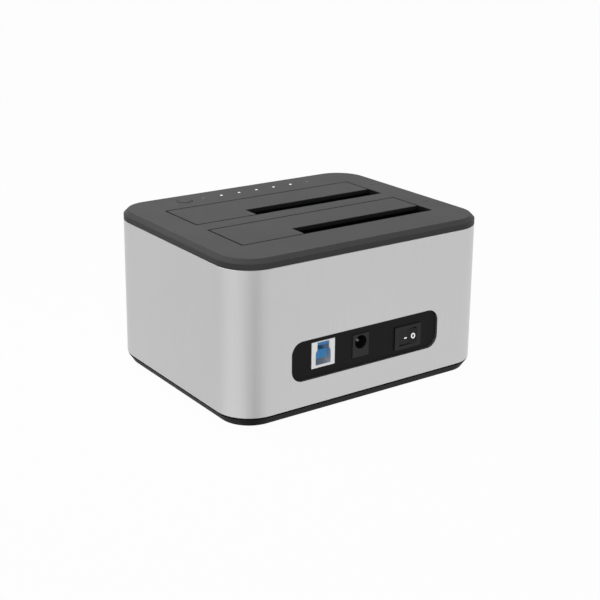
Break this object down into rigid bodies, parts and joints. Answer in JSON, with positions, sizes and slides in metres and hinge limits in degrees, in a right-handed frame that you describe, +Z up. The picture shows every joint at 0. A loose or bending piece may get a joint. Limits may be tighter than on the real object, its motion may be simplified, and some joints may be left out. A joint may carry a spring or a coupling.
{
  "type": "hard drive docking station",
  "caption": "Desktop hard drive docking station with sprung L-shaped bay doors, indicator row and copy button on top, and a USB type B socket, power jack and rocker switch at the back.",
  "frame": {"origin": "on the table, under the middle of the housing", "axes": "+Z up; +Y towards the sockets at the back; +X to the right when looking from the front along +Y"},
  "size_m": [0.135, 0.108, 0.0741],
  "materials": {
    "anodised_silver": "satin anodised",
    "base_black": "fine texture",
    "cover_grey": "fine texture",
    "rod_steel": "drawn",
    "spring_steel": "drawn wire",
    "guide_black": "moulded",
    "panel_black": "smooth",
    "board_green": "solder mask",
    "socket_black": "moulded",
    "contact_gold": "plated",
    "socket_metal": "nickel plated",
    "usb_blue": "moulded",
    "jack_black": "moulded",
    "switch_black": "moulded",
    "contact_tin": "tinned",
    "lamp_white": "clear",
    "pipe_clear": "clear",
    "header_white": "moulded",
    "cable_white": "film",
    "ferrite_grey": "pressed",
    "can_metal": "drawn can",
    "foot_rubber": "soft",
    "screw_steel": "plated"
  },
  "bodies": {
    "housing": {"shell": "anodised_silver", "base_tray": "base_black", "top_cover": "cover_grey", "hinge_rod_a": "rod_steel", "hinge_rod_b": "rod_steel", "spring_a": "spring_steel", "spring_b": "spring_steel", "drive_guide": "guide_black", "rear_panel": "panel_black", "main_board": "board_green", "indicator_board": "board_green", "sata_socket_a": "socket_black", "sata_socket_b": "socket_black", "sata_contacts_a": "contact_gold", "sata_contacts_b": "contact_gold", "usb_contacts": "contact_gold", "usb_shell": "socket_metal", "usb_insulator": "usb_blue", "power_jack": "jack_black", "jack_pin": "socket_metal", "switch_body": "switch_black", "switch_terminals": "contact_tin", "lamps": "lamp_white", "light_pipes": "pipe_clear", "tact_switch": "socket_black", "cable_headers": "header_white", "ribbon_cable": "cable_white", "board_chips": "socket_black", "inductors": "ferrite_grey", "capacitors": "can_metal", "feet": "foot_rubber", "housing_screws": "screw_steel", "guide_screws": "screw_steel", "indicator_board_screws": "screw_steel", "board_screws": "screw_steel", "panel_screws": "screw_steel"},
    "door_a": {"door_a": "cover_grey"},
    "door_b": {"door_b": "cover_grey"},
    "copy_button": {"copy_button": "cover_grey", "tact_plunger": "socket_black"},
    "switch_rocker": {"switch_rocker": "switch_black"}
  },
  "joints": [
    {"name": "door_a_hinge", "type": "hinge", "parent": "housing", "child": "door_a", "pos_m": [0, -0.0364, 0.0698], "axis": [-1, 0, 0], "range_deg": [0, 88], "stiffness_Nm_per_rad": 0.002, "springref_deg": -57.3, "deforming": ["spring_a"]},
    {"name": "door_b_hinge", "type": "hinge", "parent": "housing", "child": "door_b", "pos_m": [0, 0.0007, 0.0698], "axis": [-1, 0, 0], "range_deg": [0, 88], "stiffness_Nm_per_rad": 0.002, "springref_deg": -57.3, "deforming": ["spring_b"]},
    {"name": "copy_button_press", "type": "slide", "parent": "housing", "child": "copy_button", "axis": [0, 0, -1], "range_m": [0, 0.0005], "stiffness_N_per_m": 400, "springref_m": -0.003},
    {"name": "switch_rocker_tilt", "type": "hinge", "parent": "housing", "child": "switch_rocker", "pos_m": [-0.0221, 0.05166, 0.0247], "axis": [0, 0, 1], "range_deg": [0, 12]}
  ]
}
